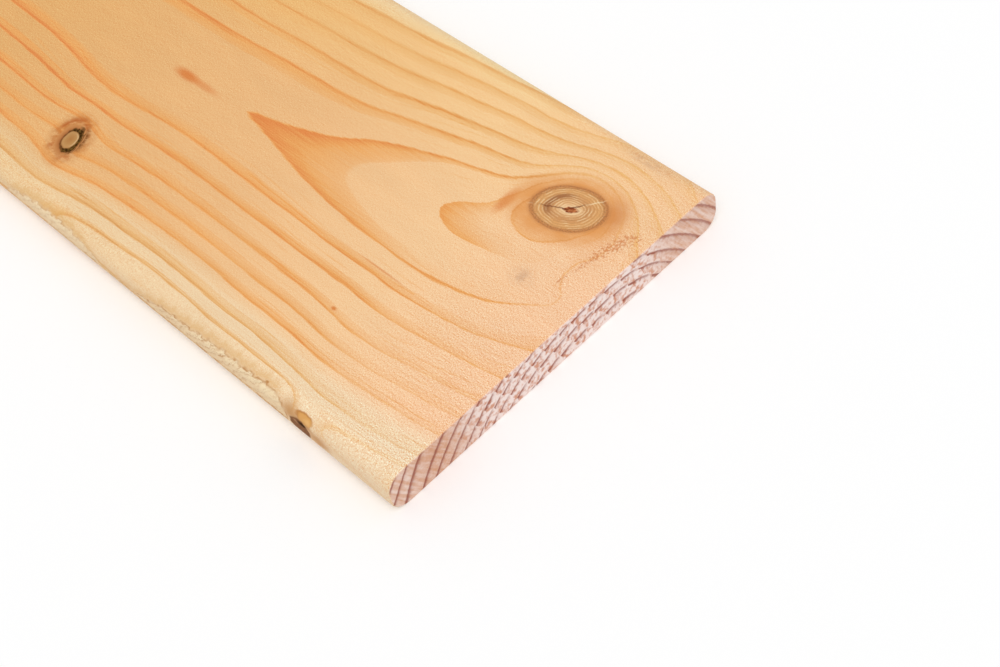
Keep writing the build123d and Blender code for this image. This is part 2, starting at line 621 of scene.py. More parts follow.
def ring_bands(add, ring, pace, fibre, right):
    """Latewood of the planed faces: it sets in over part of a ring, darkens, and stops within a millimetre.

    The rings waver a little first. Each year has its own strength, varied by veins and patches on the fibres.
    """
    along, across = add("SeparateXYZ", fibre, out=(0, 1))
    wander = add("Math", fibre_noise(add, fibre, 55, 8, 1.0), 1.2, -0.6, operation="MULTIPLY_ADD")
    waver = add("Math", fibre_noise(add, fibre, 9, 0.8), 0.5, operation="SUBTRACT")
    wander = add("Math", wander, waver, operation="ADD")
    moved = add("Math", wander, pace, ring, operation="MULTIPLY_ADD")
    phase = add("Math", moved, operation="FRACT")
    line = add("Math", moved, operation="ROUND")
    pointed = add("Math", line, POINTED_LINE, 0.5, operation="COMPARE")
    rise = latewood_rise(add, along, across, moved, phase)
    stop = latewood_line(add, along, pace, moved, pointed, right)
    band = add("Math", rise, stop, operation="MAXIMUM")
    distant = add("MapRange", along, -230.0, -165.0, 1.3, 1.0)
    band = product(add, band, calm_parts(add, along, across, fibre), distant)
    band = add("Math", band, thin_lines(add, fibre, pace, moved, phase), operation="ADD")
    dimming = worn_lines(add, along, across, line, pointed)
    strength = profile(add, line, LATEWOOD_STRENGTHS)
    vein = add("MapRange", fibre_noise(add, fibre, 22, 0.5), 0.3, 0.7, 0.72, 1.22)
    patch = add("MapRange", fibre_noise(add, fibre, 60, 14, 1.0), 0.32, 0.6, 0.82, 1.05)
    late = product(add, band, dimming, strength, vein)
    late = add("Math", late, patch, operation="MULTIPLY", use_clamp=True)
    return moved, late


# How much of the fine grain red, green and blue take: it shows as a change of colour more than of brightness.
GRAIN_WEIGHTS = (0.3, 1.0, 1.55)
# How strong the fine grain is, by the place along.
GRAIN_DEPTHS = ((-240.0, 0.95), (-132.0, 0.7), (-100.8, 0.46), (-62.4, 0.5), (-24.0, 0.86), (0.0, 0.95))


def fine_grain(add, along, fibre, torn):
    """The fine grain as a tint to multiply the wood by, and as a height: streaks along the fibres, and ticks.

    The ticks are drawn coarser than real fibres, so that they show.
    """
    depth = profile(add, along, GRAIN_DEPTHS)
    depth = add("Math", torn, 0.4, depth, operation="MULTIPLY_ADD")
    streak = add("MapRange", fibre_noise(add, fibre, 7, 0.35, 3.0), 0.25, 0.75, -0.09, 0.09)
    tick = add("MapRange", fibre_noise(add, fibre, 0.42, 0.8, 1.0), 0.3, 0.7, -0.11, 0.11, clamp=False)
    speck = add("MapRange", fibre_noise(add, fibre, 0.2, 0.4, 1.0), 0.3, 0.7, -0.33, 0.33, clamp=False)
    cloud = add("MapRange", fibre_noise(add, fibre, 35, 8, 3.0), 0.25, 0.75, 0.97, 1.03)
    tick = add("Math", tick, speck, operation="ADD")
    grain = add("Math", streak, tick, operation="ADD")
    tone = product(add, grain, depth)
    levels = [add("Math", tone, weight, cloud, operation="MULTIPLY_ADD") for weight in GRAIN_WEIGHTS]
    return add("CombineXYZ", *levels), grain


def face_grain(add, ring, pace, fibre, pale, torn, colours):
    """Planed fir: pale earlywood that darkens to orange latewood, which stops where the next year starts."""
    along, across = add("SeparateXYZ", fibre, out=(0, 1))
    right = add("MapRange", across, 12.0, 50.0, interpolation_type="SMOOTHSTEP")
    moved, late = ring_bands(add, ring, pace, fibre, right)
    late = product(add, late, pale)
    early = profile(add, along, ((-240.0, colours.early_far), (-120.0, colours.early_middle),
                                 (-52.8, colours.early_knot), (0.0, colours.early_near)))
    strip = profile(add, along, ((-240.0, colours.early_right_far), (-72.0, colours.early_right_middle),
                                 (0.0, colours.early_right)))
    early = paint(add, early, strip, right, 0.8)
    # Painted light: the right rounding is painted paler away from the sawn end, where light falls off over
    # it.
    rim = add("MapRange", across, 58.0, 68.0, 0.0, 0.85)
    back = add("MapRange", along, -90.0, -50.0, 1.0, 0.0)
    early = paint(add, early, colours.right_rounding_light, rim, back)
    sap = add("MapRange", moved, 4.8, 5.8, 0.0, 0.92, interpolation_type="SMOOTHSTEP")
    sapwood = profile(add, along, ((-240.0, colours.sapwood_far), (0.0, colours.sapwood)))
    early = paint(add, early, sapwood, sap)
    amber = paint(add, colours.late_pale, colours.late_pale_right, right)
    amber = paint(add, amber, colours.late_pale_sap, sap)
    dark = paint(add, colours.late_dark, colours.late_dark_right, right)
    dark = paint(add, dark, colours.late_dark_sap, sap)
    lower = add("MapRange", late, 0.0, 0.55)
    upper = add("MapRange", late, 0.5, 1.0)
    wood = paint(add, early, amber, lower)
    wood = paint(add, wood, dark, upper)
    for middle, reach, strength in RESIN_STREAKS:
        wood = paint(add, wood, colours.resin, spot(add, fibre, middle, reach, 0.8), strength)
    tone, grain = fine_grain(add, along, fibre, torn)
    wood = add("VectorMath", wood, tone, operation="MULTIPLY")
    return wood, late, grain


# The shades of a live and a dead knot, from the pith to the rim.
LIVE_KNOT_SHADES = (
    (0.0, "#e6b47e"), (0.30, "#e1ac74"), (0.45, "#d0955c"), (0.55, "#d4995f"), (0.66, "#dca162"),
    (0.76, "#dea566"), (0.84, "#d5985a"), (0.90, "#c58349"), (0.96, "#c37e45"), (1.0, "#d08c50"))
DEAD_KNOT_SHADES = (
    (0.0, "#b0763a"), (0.30, "#b98549"), (0.46, "#c08f55"), (0.54, "#b37e44"),
    (0.62, "#8f4f20"), (0.74, "#b06c34"), (0.88, "#c27f44"), (1.0, "#ca8b4f"))
# Where a live knot's crack shows as a pale split, and where it is open and painted dark as the shade inside
# it, by the place along in half lengths.
CRACK_PALE = ((-1.4, 0.0), (-1.232, 0.5), (-1.008, 0.3), (-0.84, 0.0), (0.336, 0.0), (0.504, 0.8),
              (1.064, 0.0), (1.4, 0.0))
CRACK_SHADE = ((-1.4, 0.0), (-0.84, 0.0), (-0.644, 0.55), (-0.14, 0.8), (0.224, 0.95), (0.392, 0.0),
              (1.4, 0.0))
# Round a dead knot, in half sizes: the bent line of resin, by the distance, and blotches by middle and reach.
DEAD_KNOT_LINE = ((0.0, 0.0), (1.08, 0.0), (1.24, 0.85), (1.36, 0.6), (1.56, 0.0), (2.0, 0.0))
DEAD_KNOT_BLOTCHES = (((0.15, -1.05), (0.9, 0.5)), ((-1.1, -0.5), (0.5, 0.35)), ((0.6, 0.95), (0.5, 0.6)))


def knot_rings(add, a, b, radius, rough):
    """The wood of a live knot: fine tan rings, broken in places, a dark arc on one side and a specked rim."""
    flat = add("CombineXYZ", a, b)
    wood = add("ValToRGB", radius, stops=LIVE_KNOT_SHADES)
    side = add("Math", b, 0.45, operation="MULTIPLY")
    side = add("Math", side, a, operation="SUBTRACT")
    side = add("MapRange", side, 0.05, 0.5, interpolation_type="SMOOTHSTEP")
    arc = add("ValToRGB", radius, stops=(
        (0.0, 0.0), (0.40, 0.0), (0.50, 0.8), (0.58, 0.8), (0.68, 0.0), (1.0, 0.0)))
    wood = paint(add, wood, "#9c6238", arc, side)
    year = add("Math", rough, 14.0, operation="MULTIPLY")
    year = add("Math", radius, 70.0, year, operation="MULTIPLY_ADD")
    year = add("Math", year, operation="SINE")
    bright = add("MapRange", year, 0.2, 1.0)
    broken = add("TexNoise", flat, Scale=3.2, Detail=2.0)
    often = add("MapRange", broken, 0.4, 0.6, 0.0, 0.75)
    within = add("MapRange", radius, 0.94, 0.8)
    wood = paint(add, wood, "#f2d3a2", bright, often, within)
    dim = add("MapRange", year, -0.3, -1.0, 0.0, 0.24)
    wood = paint(add, wood, "#97623a", dim)
    speck = add("TexNoise", flat, Scale=24.0, Detail=2.0)
    speck = add("MapRange", speck, 0.48, 0.62, 0.0, 0.45)
    rim = add("ValToRGB", radius, stops=((0.0, 0.3), (0.80, 0.3), (0.89, 1.0), (0.97, 1.0), (1.0, 0.5)))
    return paint(add, wood, "#7a5132", speck, rim)


def knot_pith(add, a, b, wood):
    """A live knot's pith: a ragged red-brown heart in a pale ring, a little off the knot's middle."""
    flat = add("CombineXYZ", a, b)
    ragged = add("TexNoise", flat, Scale=9.0, Detail=3.0)
    heart = add("VectorMath", flat, (0.05, -0.03, 0.0), operation="SUBTRACT")
    heart = add("VectorMath", heart, (1.0, 1.45, 1.0), operation="MULTIPLY")
    heart = add("VectorMath", heart, out="Value", operation="LENGTH")
    heart = add("Math", ragged, 0.2, heart, operation="MULTIPLY_ADD")
    ring = add("MapRange", heart, 0.30, 0.46, 0.75, 0.0)
    wood = paint(add, wood, "#f3d0a0", ring)
    flaw = add("MapRange", ragged, 0.4, 0.62)
    shade = paint(add, "#84380f", "#c0703a", flaw)
    pith = add("MapRange", heart, 0.25, 0.31, 1.0, 0.0)
    return paint(add, wood, shade, pith)


def knot_crack(add, a, b, wood):
    """A kinked crack that bends at the pith, pale where it only split the face, and dark with painted shade
    where it is open.
    """
    behind = add("Math", a, 0.0, operation="MINIMUM")
    ahead = add("Math", a, 0.0, operation="MAXIMUM")
    path = add("Math", behind, 0.1, -0.1, operation="MULTIPLY_ADD")
    path = add("Math", ahead, 0.8, path, operation="MULTIPLY_ADD")
    kink = add("TexNoise", W=a, Scale=5.0, Detail=3.0, noise_dimensions="1D")
    path = add("Math", kink, 0.2, path, operation="MULTIPLY_ADD")
    aside = add("Math", path, b, operation="SUBTRACT")
    aside = add("Math", aside, operation="ABSOLUTE")
    crack = add("MapRange", aside, 0.008, 0.042, 1.0, 0.0)
    wood = paint(add, wood, "#f6dcae", crack, profile(add, a, CRACK_PALE))
    # Painted shade: dark brown where the crack is open.
    crack = product(add, crack, profile(add, a, CRACK_SHADE))
    return paint(add, wood, "#6f3310", crack), crack


def dead_knot(add, a, b, radius, rough):
    """A dead knot: a tan plug in nearly black bark, thick at both ends and loose and flaky on one side."""
    flat = add("CombineXYZ", a, b)
    wood = add("ValToRGB", radius, stops=DEAD_KNOT_SHADES)
    loose = add("MapRange", a, 0.1, 0.5, interpolation_type="SMOOTHSTEP")
    lip = add("ValToRGB", radius, stops=((0.0, 0.0), (0.43, 0.0), (0.48, 0.7), (0.53, 0.0), (1.0, 0.0)))
    wood = paint(add, wood, "#e2c795", lip, loose)
    plug = add("MapRange", radius, 0.53, 0.58)
    flake = add("Math", radius, 34.0, operation="MULTIPLY")
    flake = add("Math", rough, 18.0, flake, operation="MULTIPLY_ADD")
    flake = add("Math", flake, operation="SINE")
    flake = add("MapRange", flake, -0.5, 0.7, 0.0, 0.75)
    wood = paint(add, wood, "#5c3a0c", flake, loose, plug)
    ends = add("Math", b, operation="ABSOLUTE")
    ends = add("Math", ends, radius, operation="DIVIDE")
    inner = add("MapRange", ends, 0.4, 0.95, 0.62, 0.72)
    inner = add("Math", loose, 0.12, inner, operation="MULTIPLY_ADD")
    outer = add("Math", inner, 0.09, operation="ADD")
    torn = add("TexNoise", flat, Scale=4.0, Detail=3.0)
    torn = add("MapRange", torn, 0.0, 1.0, -0.14, 0.14)
    ragged = add("Math", radius, torn, operation="ADD")
    bark = add("MapRange", ragged, inner, outer, 1.0, 0.0)
    tight = add("MapRange", a, -0.5, -0.1, 0.45, 0.95)
    moss = add("TexNoise", flat, Scale=5.0, Detail=2.0)
    moss = add("MapRange", moss, 0.42, 0.66)
    shade = paint(add, "#33200a", "#6e4f1c", moss)
    return paint(add, wood, shade, bark, plug, tight)


def live_halo(add, knot, radius, rough, live, late, wood, colours):
    """Resin-rich wood round a live knot, less above it, with dark ring lines and a deep patch before it."""
    above = add("SeparateXYZ", knot, out=1)
    above = add("MapRange", above, 1.0, 1.7, 1.0, 0.45)
    uneven = add("MapRange", rough, 0.3, 0.55, 0.6, 1.0)
    halo = add("MapRange", radius, 1.0, 1.85, 0.95, 0.0, interpolation_type="SMOOTHSTEP")
    halo = product(add, halo, uneven, above, live)
    wood = paint(add, wood, colours.halo, halo)
    rings = add("MapRange", late, 0.3, 0.8, 0.0, 0.7)
    wood = paint(add, wood, "#c5733a", rings, halo)
    before = spot(add, knot, (1.12, 0.1), (0.5, 0.9), 0.8)
    return paint(add, wood, "#c87b42", before, live, 0.4)


def dead_halo(add, knot, radius, dead, wood, colours):
    """Streaky stain round a dead knot, dark where bark was shed, with resin in a bent line and blotches."""
    a, b = add("SeparateXYZ", knot, out=(0, 1))
    streaky = add("VectorMath", knot, (1.0, 2.2, 0.0), operation="MULTIPLY")
    streaky = add("TexNoise", streaky, Scale=1.9, Detail=3.0)
    streaky = add("MapRange", streaky, 0.36, 0.58, 0.35, 1.0)
    below = add("MapRange", b, -0.3, -1.1, 1.0, 0.6)
    stained = add("MapRange", radius, 0.95, 1.95, 0.95, 0.0)
    wood = paint(add, wood, colours.dead_halo, stained, streaky, below, dead)
    shed = spot(add, knot, (0.88, 0.1), (0.5, 0.95), 0.7)
    wood = paint(add, wood, "#7e4a18", shed, streaky, dead)
    bent = profile(add, radius, DEAD_KNOT_LINE)
    upper = add("Math", a, -0.4, b, operation="MULTIPLY_ADD")
    upper = add("MapRange", upper, 0.85, 1.25, interpolation_type="SMOOTHSTEP")
    resin = product(add, bent, upper)
    for middle, reach in DEAD_KNOT_BLOTCHES:
        blotch = product(add, spot(add, knot, middle, reach, 1.0), streaky, 0.7)
        resin = add("Math", resin, blotch, operation="MAXIMUM")
    return paint(add, wood, "#b55c16", resin, dead)


def knot_grain(add, knot, near, late, wood, colours):
    """Knots laid into the face, with the resin-rich or stained wood round them, and the mask of their cracks.

    The distance from a knot's middle, in half sizes, is waved a little, and is large where no knot is near.
    """
    a, b, dead = add("SeparateXYZ", knot, out=(0, 1, 2))
    live = add("Math", 1.0, dead, operation="SUBTRACT")
    flat = add("CombineXYZ", a, b)
    rough = add("TexNoise", flat, Scale=1.6, Detail=3.0)
    distance = add("VectorMath", flat, out="Value", operation="LENGTH")
    away = add("MapRange", near, 0.0, 1.0, 3.0, 0.0)
    distance = add("Math", distance, away, operation="ADD")
    wave = add("Math", rough, 0.5, operation="SUBTRACT")
    wave_height = add("MapRange", dead, 0.0, 1.0, 0.06, 0.22)
    radius = add("Math", wave, wave_height, distance, operation="MULTIPLY_ADD")
    wood = live_halo(add, flat, radius, rough, live, late, wood, colours)
    wood = dead_halo(add, flat, radius, dead, wood, colours)
    core = knot_rings(add, a, b, radius, rough)
    core = knot_pith(add, a, b, core)
    core, crack = knot_crack(add, a, b, core)
    core = paint(add, core, dead_knot(add, a, b, radius, rough), dead)
    inside = add("MapRange", radius, 0.92, 1.1, 1.0, 0.0, interpolation_type="SMOOTHSTEP")
    return paint(add, wood, core, inside), product(add, crack, live)


# The sawn end: latewood over one ring, how firm its line is over one tooth of the saw, and how a tooth tears.
END_LINE = ((0.0, 0.8), (0.05, 0.12), (0.12, 0.0), (0.62, 0.02), (0.78, 0.22), (0.87, 0.75), (0.93, 1.0),
            (1.0, 1.0))
END_STROKE = ((0.0, 0.95), (0.3, 0.85), (0.75, 0.7), (0.9, 0.3), (1.0, 0.15))
END_PULL = ((0.0, 0.9), (0.3, 0.55), (0.55, 0.1), (0.8, 0.0), (1.0, 0.4))
SAW_PITCH = 6.6
SAW_SLANT = -0.65


def end_lines(add, ring, across, step, grit, sides):
    """Latewood lines of a sawn end, stepped by the saw's teeth in the middle and whole towards both sides."""
    jump = add("MapRange", sides, 0.0, 1.0, -0.2, 0.0)
    moved = add("Math", step, jump, ring, operation="MULTIPLY_ADD")
    moved = add("Math", grit, 0.14, moved, operation="MULTIPLY_ADD")
    phase = add("Math", moved, operation="FRACT")
    line = add("ValToRGB", phase, stops=END_LINE)
    stroke = add("ValToRGB", step, stops=END_STROKE)
    firm = add("MapRange", across, -58.0, -30.0, 0.86, 0.72)
    stroke = add("MapRange", sides, 0.0, 1.0, stroke, firm)
    line = product(add, line, stroke)
    broad = add("MapRange", phase, 0.4, 0.9, 0.0, 0.3)
    rightward = add("MapRange", across, 34.0, 50.0)
    broad = product(add, broad, rightward)
    return add("Math", line, broad, operation="MAXIMUM")


def end_grain(add, ring, fibre, colours):
    """Sawn end grain: pale earlywood between dark latewood lines, stepped and torn brown by the saw."""
    across, deep = add("SeparateXYZ", fibre, out=(1, 2))
    rough = add("TexNoise", fibre, Scale=0.3, Detail=2.0)
    grit = add("TexNoise", fibre, Scale=0.62, Detail=2.5)
    slant = add("Math", deep, SAW_SLANT, across, operation="MULTIPLY_ADD")
    tooth = add("Math", rough, 5.0, slant, operation="MULTIPLY_ADD")
    tooth = add("Math", tooth, SAW_PITCH, operation="DIVIDE")
    step = add("Math", tooth, operation="FRACT")
    pull = add("ValToRGB", step, stops=END_PULL)
    torn = add("Math", grit, 3.2, -1.6, operation="MULTIPLY_ADD")
    torn = add("Math", pull, 0.5, torn, operation="MULTIPLY_ADD")
    torn = add("MapRange", torn, 0.0, 0.7, 0.0, 0.88)
    wood = paint(add, colours.end_pale, colours.end_brown, torn)
    sides = add("Math", across, 2.0, operation="SUBTRACT")
    sides = add("Math", sides, operation="ABSOLUTE")
    sides = add("MapRange", sides, 30.0, 52.0, interpolation_type="SMOOTHSTEP")
    drawn = add("Math", deep, 0.15, operation="MULTIPLY")
    drawn = add("CombineXYZ", slant, drawn)
    streak = add("TexNoise", drawn, Scale=0.8, Detail=3.0)
    streak = add("MapRange", streak, 0.38, 0.62)
    side = paint(add, colours.end_tan, colours.end_rose, streak)
    wood = paint(add, wood, side, sides, 0.85)
    tanned = add("Math", across, 51.0, operation="ADD")
    tanned = add("Math", tanned, operation="ABSOLUTE")
    tanned = add("MapRange", tanned, 3.0, 12.0, 0.44, 0.0)
    grain = add("TexNoise", fibre, Scale=1.3, Detail=2.0)
    grain = add("MapRange", grain, 0.35, 0.62, 0.45, 1.2)
    wood = paint(add, wood, "#cc8f68", tanned, grain)
    line = end_lines(add, ring, across, step, grit, sides)
    return paint(add, wood, colours.end_line, line), grit


# How dark the painted shade in the crease is over one torn scale.
CREASE_SHADE = ((0.0, 0.9), (0.06, 0.75), (0.15, 0.3), (0.4, 0.1), (0.65, 0.0), (0.94, 0.0), (1.0, 0.9))


def torn_edge(add, edge, chip, brow, wood, colours):
    """Torn fibres on the left edge: pale overlapping scales, each with a thin brown crease of painted shade
    at its root.

    The second value is the scales' height. Painted shade darkens the left rounding towards its lower part,
    more so near the sawn end, and turns the torn fibres tan there; the edge just above the scales is browned.
    """
    along, fall = add("SeparateXYZ", edge, out=(0, 1))
    drift = add("TexNoise", edge, Scale=0.16, Detail=4.0, Roughness=0.65)
    drift = add("MapRange", drift, 0.0, 1.0, -5.5, 5.5)
    slant = add("Math", fall, TEAR_SLANT, along, operation="MULTIPLY_ADD")
    slant = add("Math", slant, drift, operation="ADD")
    tooth = add("Math", slant, TEAR_PITCH, operation="DIVIDE")
    tooth = add("Math", tooth, operation="FRACT")
    often = add("TexNoise", edge, Scale=0.4, Detail=2.0)
    often = add("MapRange", often, 0.4, 0.6, 0.3, 1.0)
    crease_shade_and_barbs = product(add, add("ValToRGB", tooth, stops=CREASE_SHADE), often)
    barb = add("CombineXYZ", slant, along)
    barb = add("VectorMath", barb, (2.0, 0.25, 0.0), operation="MULTIPLY")
    barb = add("TexNoise", barb, Scale=1.0, Detail=3.0)
    line = add("MapRange", barb, 0.5, 0.66, 0.0, 0.6)
    crease_shade_and_barbs = add("Math", crease_shade_and_barbs, line, operation="MAXIMUM")
    smoother = add("MapRange", along, -72.0, -54.0, 1.0, 0.6)
    faint = add("MapRange", along, -140.0, -115.0, 0.55, 1.0)
    # Painted shade in the creases, with the fine barb lines, over the pale torn fibres.
    torn = paint(add, colours.torn_pale, colours.crease_shade_and_rim, crease_shade_and_barbs, smoother, faint)
    # Painted shade: the torn fibres turn tan towards the lower part of the rounding.
    low = add("MapRange", fall, 6.5, 11.0, 0.0, 0.5)
    torn = paint(add, torn, "#e0bc8e", low)
    # Painted shade: the left rounding darkens towards its lower part, more so near the sawn end.
    dimming = add("MapRange", fall, 1.0, 8.0, 0.0, 0.3)
    near_end = add("MapRange", along, -60.0, -25.0, 0.5, 1.0)
    wood = paint(add, wood, "#d0ac80", dimming, near_end)
    wood = paint(add, wood, "#d6a257", brow, 0.5)
    wood = paint(add, wood, torn, chip)
    rest = add("Math", 1.0, chip, operation="SUBTRACT")
    rim = product(add, chip, rest)
    rim = add("Math", rim, 3.4, operation="MULTIPLY", use_clamp=True)
    # The thin line along the torn strip's edges, in the same brown as the creases' painted shade.
    wood = paint(add, wood, colours.crease_shade_and_rim, rim, often, faint)
    return wood, product(add, tooth, barb)


def edge_knot(add, edge, wood):
    """The knot cut off by the left edge: a tan heart above a plug of dark bark, in stained wood."""
    rough = add("TexNoise", edge, out="Color", Scale=0.45, Detail=2.0)
    rough = add("VectorMath", rough, (0.5, 0.5, 0.5), operation="SUBTRACT")
    place = add("VectorMath", rough, (2.2, 1.6, 0.0), edge, operation="MULTIPLY_ADD")
    for middle, reach, soft, code in EDGE_KNOT_PARTS:
        wood = paint(add, wood, code, spot(add, place, middle, reach, soft))
    return wood


def pits_and_stains(add, fibre, pits, stain, wood, colours):
    """The red-brown pits of the torn line and the grey-brown stains, and the pits' mask."""
    hole = fibre_noise(add, fibre, 0.75, 1.1)
    hole = add("Math", pits, 0.24, hole, operation="MULTIPLY_ADD")
    hole = add("MapRange", hole, 0.66, 0.8, 0.0, 0.75)
    pitted_part = add("MapRange", pits, 0.05, 0.3)
    hole = product(add, hole, pitted_part)
    wood = paint(add, wood, colours.pit, hole)
    uneven = add("MapRange", fibre_noise(add, fibre, 2.6, 1.4), 0.36, 0.62, 0.12, 0.48)
    return paint(add, wood, colours.stain, stain, uneven), hole


def fir_material(colours):
    """Planed Douglas fir, straight from the planer: matt, warm, with raised grain and no finish on it.

    Its patterns follow the mesh's own attributes, which are in millimetres, rings and half sizes of knots, so
    a noise's scale there is a number of grains per millimetre or per half size. Pale wood shines a little
    more than dark wood, and the sawn ends are rougher than the planed faces.
    """
    material = bpy.data.materials.new("planed_douglas_fir")
    material.use_nodes = True
    material.node_tree.nodes.clear()
    add = partial(add_node, material.node_tree)
    ring, pace, near, pale, pits, brow = (add("Attribute", out="Fac", attribute_name=key) for key in (
        "ring", "pace", "near", "pale", "pits", "brow"))
    fibre, knot, marks, edge = (add("Attribute", out="Vector", attribute_name=key) for key in (
        "fibre", "knot", "marks", "edge"))
    torn, stain, chip = add("SeparateXYZ", marks, out=(0, 1, 2))
    sawn = add("SeparateXYZ", edge, out=2)
    wood, late, grain = face_grain(add, ring, pace, fibre, pale, torn, colours)
    wood, crack = knot_grain(add, knot, near, late, wood, colours)
    wood, scale = torn_edge(add, edge, chip, brow, wood, colours)
    wood = edge_knot(add, edge, wood)
    wood, hole = pits_and_stains(add, fibre, pits, stain, wood, colours)
    end, grit = end_grain(add, ring, fibre, colours)
    wood = paint(add, wood, end, sawn)
    fuzz = add("TexNoise", fibre, Scale=1.6, Detail=3.0)
    fuzz_depth = add("MapRange", torn, 0.0, 1.0, 0.06, 0.45)
    height = product(add, fuzz, fuzz_depth)
    scales = product(add, scale, chip)
    for relief, rise in ((grain, 0.08), (late, 0.12), (crack, -0.8), (hole, -0.7), (scales, 1.3)):
        height = add("Math", relief, rise, height, operation="MULTIPLY_ADD")
    height = add("MapRange", sawn, 0.0, 1.0, height, grit)
    bump = add("Bump", Height=height, Strength=1.0, Distance=BUMP_DEPTH)
    rough = add("MapRange", sawn, 0.0, 1.0, 0.6, 0.9)
    bright = add("SeparateColor", wood)
    gloss = add("MapRange", bright, 0.05, 0.4, 0.0, 0.3)
    shader = add("BsdfPrincipled", wood, Roughness=rough, Normal=bump, IOR=1.5, Specular_IOR_Level=gloss)
    add("OutputMaterial", shader)
    return material


def section(form):
    """The section's upper outline, from left to right: place across, and height above the section's middle.

    Each rounding is a quarter circle, and the flat between them is straight. The lower outline mirrors it.
    """
    half = PLANK_SIZE.y / 2
    rise = PLANK_SIZE.z / 2 - form.edge_radius
    turn = np.linspace(math.pi, math.pi / 2, form.round_steps + 1)
    left = np.stack([form.edge_radius - half + form.edge_radius * np.cos(turn),
                     rise + form.edge_radius * np.sin(turn)], axis=-1)
    flat = np.linspace(left[-1], left[-1] * (-1, 1), form.flat_steps + 1)[1:-1]
    return np.concatenate([left, flat, left[::-1] * (-1, 1)])


# How many places the faces' length is worked out at, and how far beyond a knot its close faces go: so many
# half lengths, and a margin in millimetres.
PITCH_SAMPLES = 4000
KNOT_PITCH_SHARE = 3
KNOT_PITCH_MARGIN = 6.0


def stations(form):
    """Places along the plank, close near the large knot, less so at the other knots, and wide elsewhere.

    The number of places per metre is added up along the plank, and the places are where that sum is whole.
    """
    half = PLANK_SIZE.x / 2
    along = np.linspace(-PLANK_SIZE.x, 0, PITCH_SAMPLES)
    pitch = np.full(along.shape, form.plain_pitch)
    for knot in KNOTS:
        reach = KNOT_PITCH_SHARE * knot.half_length + KNOT_PITCH_MARGIN
        close = bell((along / MM - knot.along) / reach)
        pitch = np.minimum(pitch, form.plain_pitch + (form.knot_pitch - form.plain_pitch) * close)
    pitch = np.where(along > -form.fine_reach, form.fine_pitch, pitch)
    count = np.concatenate([[0], np.cumsum(np.diff(along) / pitch[1:])])
    even = np.linspace(0, count[-1], int(count[-1]) + 1)
    inner = np.interp(even, count, along) + half
    inner[0], inner[-1] = form.arris - half, half - form.arris
    return np.concatenate([[-half], inner, [half]])


# How wide the left edge is, in radii of its rounding, and the angle past which two faces meet sharply.
LEFT_SHARE = 1.5
SHARP_ANGLE = math.radians(35)


def outline(form):
    """The whole section's points, their outward directions, their ways down from the flat, and its columns.

    The points go along the upper outline from left to right, down the right side, back along the lower one,
    and up the left side. A point that isn't on the left has no way down, and gets a negative one.
    """
    upper = section(form)
    count = len(upper)
    share = np.linspace(1, -1, form.side_steps + 1)[1:-1, None]
    right = np.concatenate([np.full_like(share, upper[-1, 0]), upper[-1, 1] * share], axis=1)
    points = np.concatenate([upper, right, upper[::-1] * (1, -1), right[::-1] * (-1, 1)])
    half = PLANK_SIZE.y / 2
    flat = half - form.edge_radius
    rise = PLANK_SIZE.z / 2 - form.edge_radius
    core = np.clip(points, (-flat, -rise), (flat, rise))
    outward = points - core
    outward /= np.linalg.norm(outward, axis=1, keepdims=True)
    turn = np.arctan2(-outward[:, 0], outward[:, 1])
    straight = np.where(turn > math.pi / 4, rise - core[:, 1], 0)
    left = points[:, 0] < form.edge_radius * LEFT_SHARE - half
    down = np.where(left, form.edge_radius * turn + straight, -MM) / MM
    return points, outward, down, count


